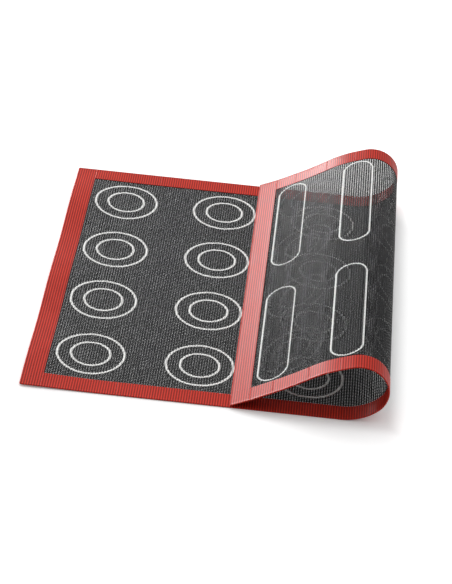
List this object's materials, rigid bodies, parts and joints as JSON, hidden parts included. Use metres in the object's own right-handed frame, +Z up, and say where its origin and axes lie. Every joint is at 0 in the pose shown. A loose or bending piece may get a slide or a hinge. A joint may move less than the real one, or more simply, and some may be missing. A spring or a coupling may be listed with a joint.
{
  "type": "baking mat",
  "caption": "Rectangular open-mesh silicone baking mat with a closed red edge band and white portion guides, its right-hand end curled over onto its own face; the curl opens flat.",
  "frame": {"origin": "on the surface that the mat lies on, under the centre of the folded mat's box", "axes": "+X towards the fold, +Y across the mat's width away from the viewer, +Z up"},
  "size_m": [0.256, 0.3, 0.0464],
  "materials": {
    "black_silicone_weave": "soft satin silicone over an open plain weave of glass-fibre yarn",
    "red_silicone_band": "smooth satin silicone pressed over the weave, its threads showing as fine ribs",
    "white_silicone_print": "matt silicone ink, broken up by the weave's holes"
  },
  "bodies": {
    "laid_panel": {"laid_panel_edge_band": "red_silicone_band", "laid_panel_finger_marks": "white_silicone_print", "laid_panel_ring_marks": "white_silicone_print", "laid_panel_weave": "black_silicone_weave"},
    "bend_01": {"bend_01_edge_band": "red_silicone_band", "bend_01_weave": "black_silicone_weave"},
    "bend_02": {"bend_02_edge_band": "red_silicone_band", "bend_02_finger_marks": "white_silicone_print", "bend_02_weave": "black_silicone_weave"},
    "bend_03": {"bend_03_edge_band": "red_silicone_band", "bend_03_finger_marks": "white_silicone_print", "bend_03_ring_marks": "white_silicone_print", "bend_03_weave": "black_silicone_weave"},
    "bend_04": {"bend_04_edge_band": "red_silicone_band", "bend_04_finger_marks": "white_silicone_print", "bend_04_ring_marks": "white_silicone_print", "bend_04_weave": "black_silicone_weave"},
    "bend_05": {"bend_05_edge_band": "red_silicone_band", "bend_05_finger_marks": "white_silicone_print", "bend_05_ring_marks": "white_silicone_print", "bend_05_weave": "black_silicone_weave"},
    "bend_06": {"bend_06_edge_band": "red_silicone_band", "bend_06_ring_marks": "white_silicone_print", "bend_06_weave": "black_silicone_weave"},
    "bend_07": {"bend_07_edge_band": "red_silicone_band", "bend_07_ring_marks": "white_silicone_print", "bend_07_weave": "black_silicone_weave"},
    "bend_08": {"bend_08_edge_band": "red_silicone_band", "bend_08_ring_marks": "white_silicone_print", "bend_08_weave": "black_silicone_weave"},
    "bend_09": {"bend_09_edge_band": "red_silicone_band", "bend_09_ring_marks": "white_silicone_print", "bend_09_weave": "black_silicone_weave"},
    "bend_10": {"bend_10_edge_band": "red_silicone_band", "bend_10_finger_marks": "white_silicone_print", "bend_10_ring_marks": "white_silicone_print", "bend_10_weave": "black_silicone_weave"},
    "bend_11": {"bend_11_edge_band": "red_silicone_band", "bend_11_finger_marks": "white_silicone_print", "bend_11_weave": "black_silicone_weave"},
    "flap_top": {"flap_top_edge_band": "red_silicone_band", "flap_top_ring_marks": "white_silicone_print", "flap_top_weave": "black_silicone_weave"},
    "flap_middle": {"flap_middle_edge_band": "red_silicone_band", "flap_middle_finger_marks": "white_silicone_print", "flap_middle_ring_marks": "white_silicone_print", "flap_middle_weave": "black_silicone_weave"},
    "flap_edge": {"flap_edge_edge_band": "red_silicone_band", "flap_edge_weave": "black_silicone_weave"}
  },
  "joints": [
    {"name": "unroll", "type": "hinge", "parent": "laid_panel", "child": "bend_01", "pos_m": [0.10062, 0, 0.0005], "axis": [0, 1, 0], "range_deg": [0, 14.67]},
    {"name": "bend_02_fold", "type": "hinge", "parent": "bend_01", "child": "bend_02", "pos_m": [0.10959, 0, 0.00285], "axis": [0, 1, 0], "range_deg": [0, 14.67]},
    {"name": "bend_03_fold", "type": "hinge", "parent": "bend_02", "child": "bend_03", "pos_m": [0.11766, 0, 0.00739], "axis": [0, 1, 0], "range_deg": [0, 14.67]},
    {"name": "bend_04_fold", "type": "hinge", "parent": "bend_03", "child": "bend_04", "pos_m": [0.12353, 0, 0.01305], "axis": [0, 1, 0], "range_deg": [0, 19.5]},
    {"name": "bend_05_fold", "type": "hinge", "parent": "bend_04", "child": "bend_05", "pos_m": [0.12667, 0, 0.01936], "axis": [0, 1, 0], "range_deg": [0, 19.5]},
    {"name": "bend_06_fold", "type": "hinge", "parent": "bend_05", "child": "bend_06", "pos_m": [0.12753, 0, 0.02635], "axis": [0, 1, 0], "range_deg": [0, 19.5]},
    {"name": "bend_07_fold", "type": "hinge", "parent": "bend_06", "child": "bend_07", "pos_m": [0.12601, 0, 0.03323], "axis": [0, 1, 0], "range_deg": [0, 19.5]},
    {"name": "bend_08_fold", "type": "hinge", "parent": "bend_07", "child": "bend_08", "pos_m": [0.12227, 0, 0.0392], "axis": [0, 1, 0], "range_deg": [0, 19.5]},
    {"name": "bend_09_fold", "type": "hinge", "parent": "bend_08", "child": "bend_09", "pos_m": [0.11676, 0, 0.04359], "axis": [0, 1, 0], "range_deg": [0, 19.5]},
    {"name": "bend_10_fold", "type": "hinge", "parent": "bend_09", "child": "bend_10", "pos_m": [0.1101, 0, 0.04588], "axis": [0, 1, 0], "range_deg": [0, 19.5]},
    {"name": "bend_11_fold", "type": "hinge", "parent": "bend_10", "child": "bend_11", "pos_m": [0.10306, 0, 0.04582], "axis": [0, 1, 0], "range_deg": [0, 19.5]},
    {"name": "flap_top_fold", "type": "hinge", "parent": "bend_11", "child": "flap_top", "pos_m": [0.08191, 0, 0.03812], "axis": [0, 1, 0], "range_deg": [0, 13.9]},
    {"name": "flap_middle_fold", "type": "hinge", "parent": "flap_top", "child": "flap_middle", "pos_m": [0.06033, 0, 0.02362], "axis": [0, -1, 0], "range_deg": [0, 4.5]},
    {"name": "flap_edge_fold", "type": "hinge", "parent": "flap_middle", "child": "flap_edge", "pos_m": [0.03419, 0, 0.0089], "axis": [0, -1, 0], "range_deg": [0, 4.5]}
  ],
  "couplings": [
    {"joint": "bend_02_fold", "follows": "unroll", "ratio": 1},
    {"joint": "bend_03_fold", "follows": "unroll", "ratio": 1},
    {"joint": "bend_04_fold", "follows": "unroll", "ratio": 1.3295},
    {"joint": "bend_05_fold", "follows": "unroll", "ratio": 1.3295},
    {"joint": "bend_06_fold", "follows": "unroll", "ratio": 1.3295},
    {"joint": "bend_07_fold", "follows": "unroll", "ratio": 1.3295},
    {"joint": "bend_08_fold", "follows": "unroll", "ratio": 1.3295},
    {"joint": "bend_09_fold", "follows": "unroll", "ratio": 1.3295},
    {"joint": "bend_10_fold", "follows": "unroll", "ratio": 1.3295},
    {"joint": "bend_11_fold", "follows": "unroll", "ratio": 1.3295},
    {"joint": "flap_top_fold", "follows": "unroll", "ratio": 0.94739},
    {"joint": "flap_middle_fold", "follows": "unroll", "ratio": 0.30682},
    {"joint": "flap_edge_fold", "follows": "unroll", "ratio": 0.30682}
  ]
}
